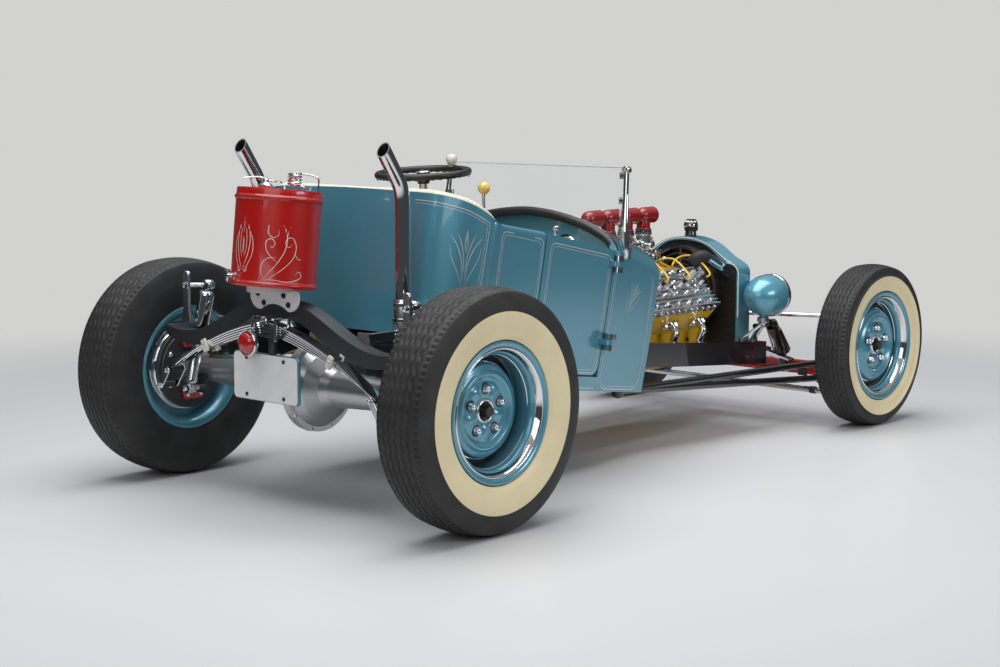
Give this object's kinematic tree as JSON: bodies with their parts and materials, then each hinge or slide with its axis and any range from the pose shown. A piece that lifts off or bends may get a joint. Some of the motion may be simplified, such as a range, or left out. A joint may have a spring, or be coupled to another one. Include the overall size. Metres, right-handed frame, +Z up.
{
  "type": "street rod roadster",
  "caption": "Two-seat street rod roadster with an open V-eight, exposed front axle, upright exhaust stacks and a rear fuel can.",
  "frame": {"origin": "on the ground below the centre of the whole car", "axes": "+Z up, the car faces -Y, its left side is +X"},
  "size_m": [1.655, 3.257, 1.187],
  "materials": {
    "body_paint": "gloss",
    "tyre_rubber": "matte",
    "chrome": "polished",
    "dark_metal": "satin",
    "silver_metal": "satin",
    "black_paint": "gloss",
    "red_paint": "gloss",
    "yellow_paint": "gloss",
    "bare_aluminium": "polished",
    "cast_iron": "satin",
    "upholstery": "satin",
    "black_vinyl": "satin",
    "clear_glass": "clear",
    "white_plate": "gloss",
    "carpet": "matte"
  },
  "bodies": {
    "chassis": {"frame_rail_left": "black_paint", "frame_rail_right": "black_paint", "front_crossmembers": "black_paint", "rear_crossmember": "dark_metal", "rear_axle": "silver_metal", "rear_spring": "chrome", "rear_shocks": "chrome", "front_shocks": "black_paint", "driveline": "cast_iron", "rear_radius_rods": "chrome", "front_axle": "red_paint", "front_spring": "chrome", "front_radius_rods": "chrome", "steering_box": "cast_iron", "cowl": "body_paint", "door_hinges": "chrome", "rear_body": "body_paint", "floor_pan": "carpet", "firewall": "body_paint", "dashboard": "black_vinyl", "seat_cushion": "upholstery", "seat_back": "upholstery", "windscreen_glass": "clear_glass", "windscreen_posts": "chrome", "steering_column": "chrome", "gear_lever": "chrome", "engine_block": "yellow_paint", "cylinder_heads": "bare_aluminium", "carburettors": "bare_aluminium", "air_scoops": "red_paint", "exhaust_headers": "cast_iron", "exhaust_stacks": "chrome", "radiator_shell": "body_paint", "radiator": "dark_metal", "coolant_hoses": "chrome", "headlamps": "body_paint", "headlamp_stands": "chrome", "fuel_can": "red_paint", "can_bracket": "chrome", "number_plate": "white_plate", "tail_lamp": "chrome"},
    "wheel_fl": {"tyre_front_left": "tyre_rubber", "wheel_front_left": "body_paint"},
    "wheel_fr": {"tyre_front_right": "tyre_rubber", "wheel_front_right": "body_paint"},
    "wheel_rl": {"tyre_rear_left": "tyre_rubber", "wheel_rear_left": "body_paint"},
    "wheel_rr": {"tyre_rear_right": "tyre_rubber", "wheel_rear_right": "body_paint"},
    "steer_knuckle_left": {"knuckle_left": "red_paint"},
    "steer_knuckle_right": {"knuckle_right": "red_paint"},
    "tie_rod_body": {"tie_rod": "chrome"},
    "drag_link_body": {"drag_link": "chrome"},
    "pitman_body": {"pitman_arm": "dark_metal"},
    "steering_wheel_body": {"steering_wheel": "black_vinyl"},
    "door_left_body": {"door_left": "body_paint"},
    "door_right_body": {"door_right": "body_paint"}
  },
  "joints": [
    {"name": "steer_left", "type": "hinge", "parent": "chassis", "child": "steer_knuckle_left", "pos_m": [0.505, -1.2965, 0.332], "axis": [0, 0, 1], "range_deg": [-20, 20]},
    {"name": "steer_right", "type": "hinge", "parent": "chassis", "child": "steer_knuckle_right", "pos_m": [-0.505, -1.2965, 0.332], "axis": [0, 0, 1], "range_deg": [-20, 20]},
    {"name": "tie_rod_pivot", "type": "hinge", "parent": "steer_knuckle_left", "child": "tie_rod_body", "pos_m": [0.505, -1.1465, 0.1397], "axis": [0, 0, 1], "range_deg": [-20, 20]},
    {"name": "pitman_turn", "type": "hinge", "parent": "chassis", "child": "pitman_body", "pos_m": [0.15, -1.01, 0.3973], "axis": [0, 0, 1], "range_deg": [-20, 20]},
    {"name": "drag_link_pivot", "type": "hinge", "parent": "steer_knuckle_right", "child": "drag_link_body", "pos_m": [-0.505, -1.4165, 0.4246], "axis": [0, 0, 1], "range_deg": [-20, 20]},
    {"name": "steering_wheel_turn", "type": "hinge", "parent": "chassis", "child": "steering_wheel_body", "pos_m": [0.2, 0.5255, 1.065], "axis": [0, 0.0698, 0.9976], "range_deg": [-240, 240]},
    {"name": "wheel_front_left_spin", "type": "hinge", "parent": "steer_knuckle_left", "child": "wheel_fl", "pos_m": [0.613, -1.2965, 0.332], "axis": [1, 0, 0], "continuous": true},
    {"name": "wheel_front_right_spin", "type": "hinge", "parent": "steer_knuckle_right", "child": "wheel_fr", "pos_m": [-0.613, -1.2965, 0.332], "axis": [1, 0, 0], "continuous": true},
    {"name": "wheel_rear_left_spin", "type": "hinge", "parent": "chassis", "child": "wheel_rl", "pos_m": [0.73, 1.2435, 0.385], "axis": [1, 0, 0], "continuous": true},
    {"name": "wheel_rear_right_spin", "type": "hinge", "parent": "chassis", "child": "wheel_rr", "pos_m": [-0.73, 1.2435, 0.385], "axis": [1, 0, 0], "continuous": true},
    {"name": "door_left_hinge", "type": "hinge", "parent": "chassis", "child": "door_left_body", "pos_m": [0.465, 0.2466, 0.56497], "axis": [0, -0.1392, 0.9903], "range_deg": [-65, 0]},
    {"name": "door_right_hinge", "type": "hinge", "parent": "chassis", "child": "door_right_body", "pos_m": [-0.465, 0.2466, 0.56497], "axis": [0, -0.1392, 0.9903], "range_deg": [0, 65]}
  ],
  "couplings": [
    {"joint": "steer_right", "follows": "steer_left", "ratio": 1},
    {"joint": "tie_rod_pivot", "follows": "steer_left", "ratio": -1},
    {"joint": "pitman_turn", "follows": "steer_left", "ratio": 1},
    {"joint": "drag_link_pivot", "follows": "steer_left", "ratio": -1},
    {"joint": "steering_wheel_turn", "follows": "steer_left", "ratio": 12}
  ]
}
